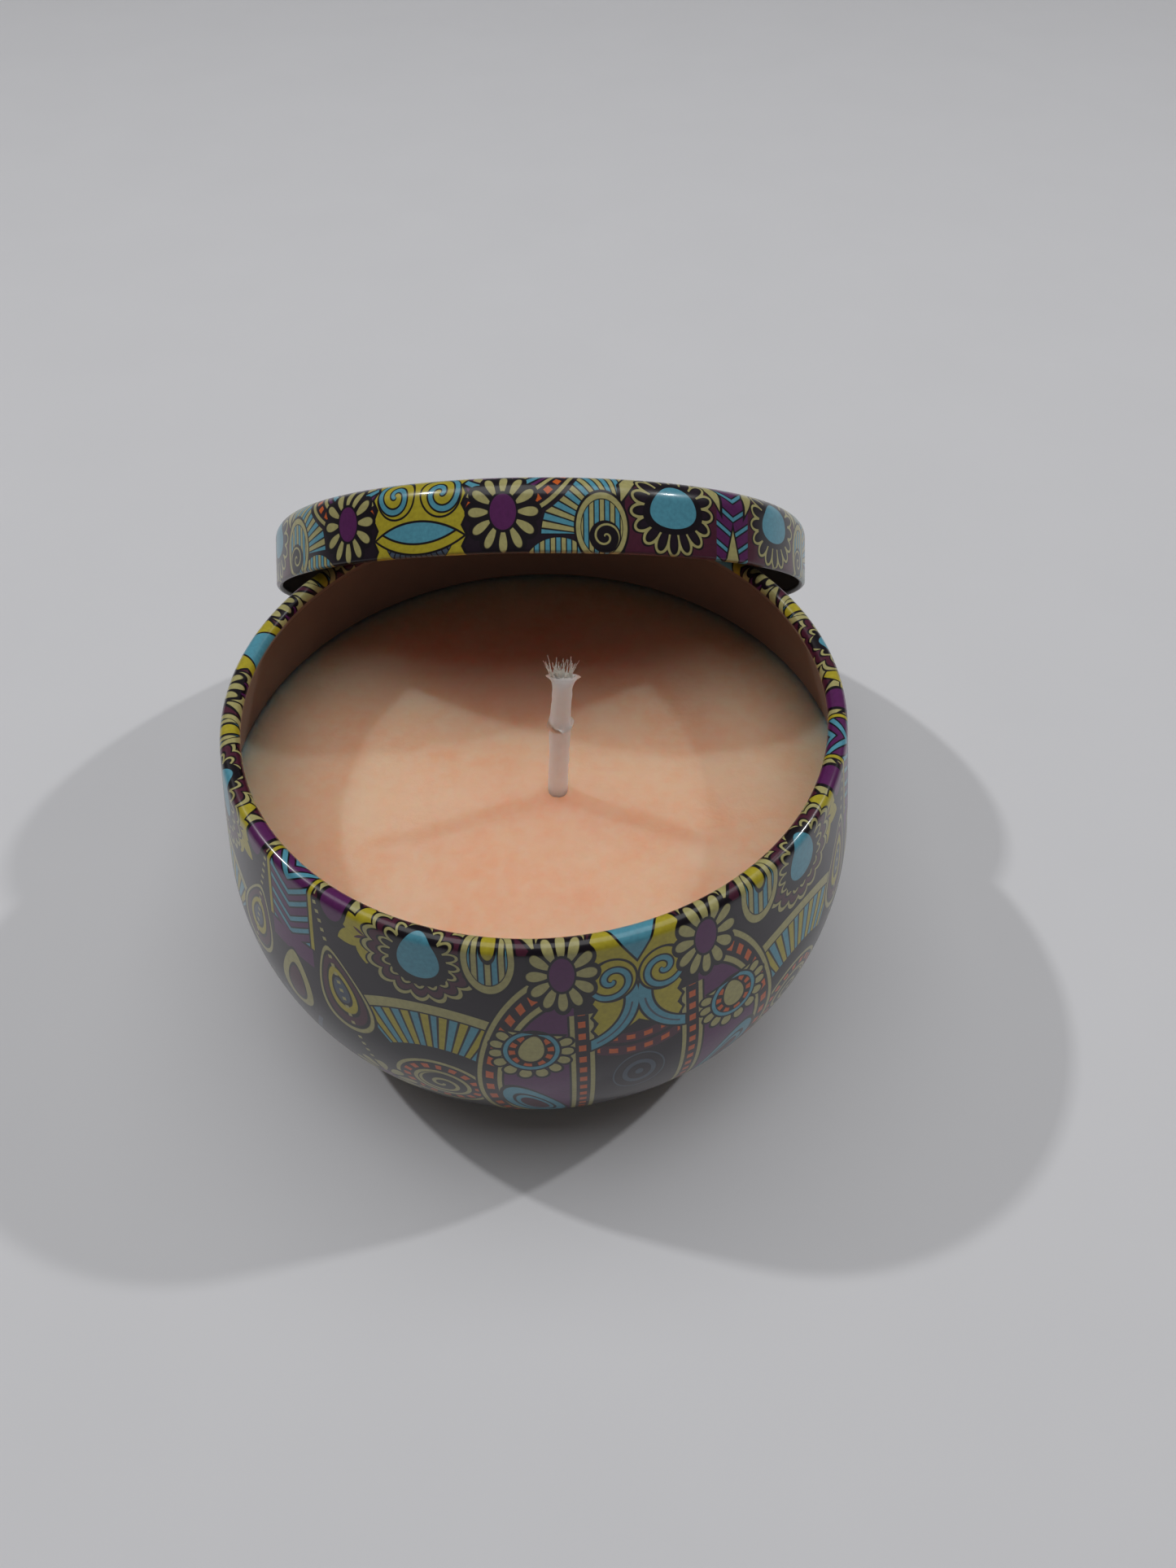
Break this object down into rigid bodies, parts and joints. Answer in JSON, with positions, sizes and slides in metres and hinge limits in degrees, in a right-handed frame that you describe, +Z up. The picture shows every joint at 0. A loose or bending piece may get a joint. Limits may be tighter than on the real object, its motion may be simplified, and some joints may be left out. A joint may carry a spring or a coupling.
{
  "type": "candle tin",
  "caption": "Bowl-shaped printed tin filled with candle wax, with an upright wick and a slip lid leaning behind it.",
  "frame": {"origin": "middle of the flat base, on the surface that the tin stands on", "axes": "+Z up along the bowl's axis; +Y to the back, where the lid leans with its open side over the bowl; +X to the right"},
  "size_m": [0.0832, 0.1152, 0.0645],
  "materials": {
    "printed_tin": "glossy printed lacquer on tinplate, plain taupe lacquer inside",
    "printed_lid": "glossy printed lacquer on tinplate, plain dark lacquer inside",
    "wax": "peach soy wax with a soft frosted surface",
    "cotton_braid": "white braided cotton, frayed at the cut end",
    "wick_wax": "translucent white wax jacket",
    "sustainer_metal": "thin pressed tinplate",
    "foam_sticker": "white adhesive foam"
  },
  "bodies": {
    "tin": {"tin_body": "printed_tin", "wax_fill": "wax", "wick_braid": "cotton_braid", "wick_wax_coat": "wick_wax", "wick_sustainer": "sustainer_metal", "wick_sticker": "foam_sticker"},
    "lid": {"tin_lid": "printed_lid"}
  },
  "joints": [
    {"name": "lid_lift", "type": "slide", "parent": "tin", "child": "lid", "axis": [-0.0101, 0.7241, 0.6896], "range_m": [0, 0.12]}
  ]
}
